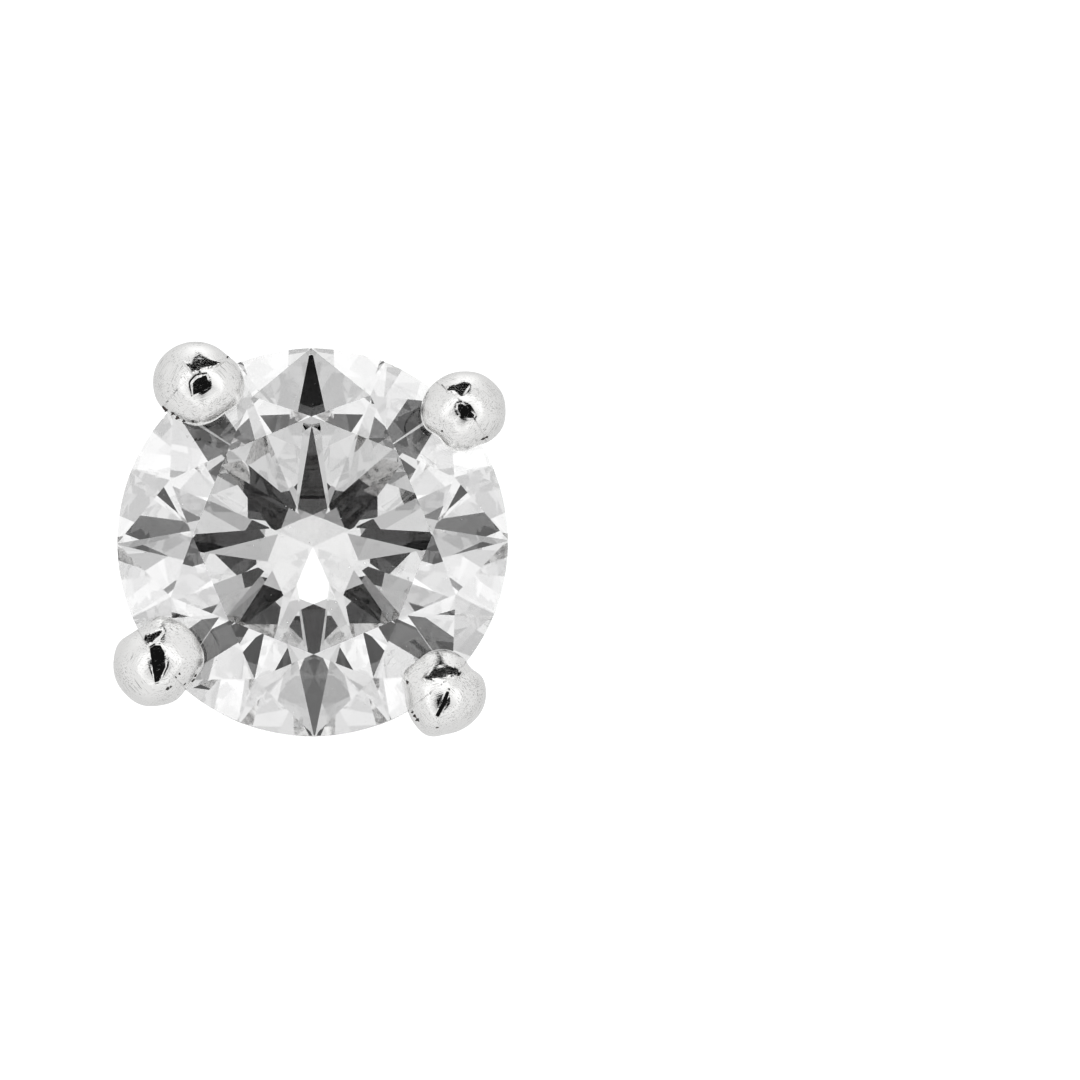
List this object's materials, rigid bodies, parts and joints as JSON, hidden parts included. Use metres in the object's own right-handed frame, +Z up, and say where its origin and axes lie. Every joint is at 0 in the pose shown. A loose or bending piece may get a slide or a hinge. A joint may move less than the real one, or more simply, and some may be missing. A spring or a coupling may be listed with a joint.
{
  "type": "stud earring",
  "caption": "Stud earring: a round brilliant-cut clear stone held by bead-tipped claws on a soldered wire basket with a straight ear post.",
  "frame": {"origin": "middle of the bounding box's footprint, on the surface that the earring lies on", "axes": "the stone's face looks along -Y and tilts up by 9.7 degrees, the ear post runs back along +Y, +X is to the right as the face is seen, and +Z is up"},
  "size_m": [0.0052, 0.0142, 0.0053],
  "materials": {
    "white_gold": "hand-polished white gold with fine polishing scratches",
    "clear_stone": "polished facets with a finely frosted girdle"
  },
  "bodies": {
    "root": {"claw_setting": "white_gold", "round_stone": "clear_stone"}
  },
  "joints": []
}
